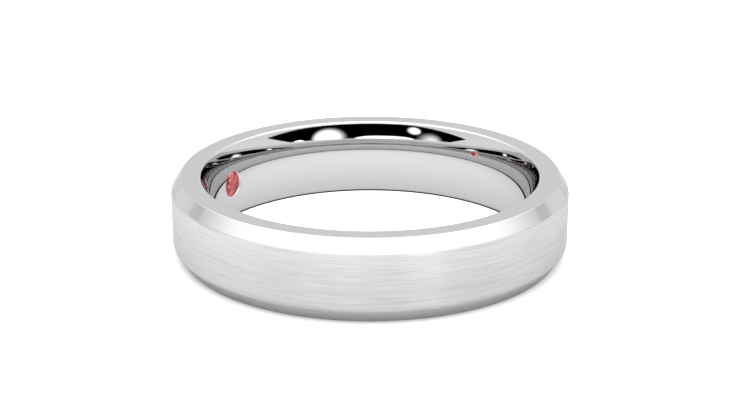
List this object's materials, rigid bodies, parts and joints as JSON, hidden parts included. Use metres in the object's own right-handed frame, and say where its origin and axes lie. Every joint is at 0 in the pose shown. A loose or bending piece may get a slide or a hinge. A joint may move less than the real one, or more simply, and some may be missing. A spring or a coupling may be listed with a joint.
{
  "type": "wedding band",
  "caption": "Flat wedding band with bevelled polished edges, a brushed outer face, a rounded finger surface and a small red stone set flush inside.",
  "frame": {"origin": "on the finger axis, at the height of the lower rim that the band lies on", "axes": "+Z along the finger axis, from the lower rim to the upper rim; the stone is 62.4 degrees round from +Y towards -X and faces the axis"},
  "size_m": [0.0196, 0.0196, 0.004],
  "materials": {
    "band_metal": "white precious metal: outer face brushed along the band, bevels, rims and finger surface polished",
    "red_stone": "polished facets, clear red"
  },
  "bodies": {
    "root": {"band": "band_metal", "inside_stone": "red_stone"}
  },
  "joints": []
}
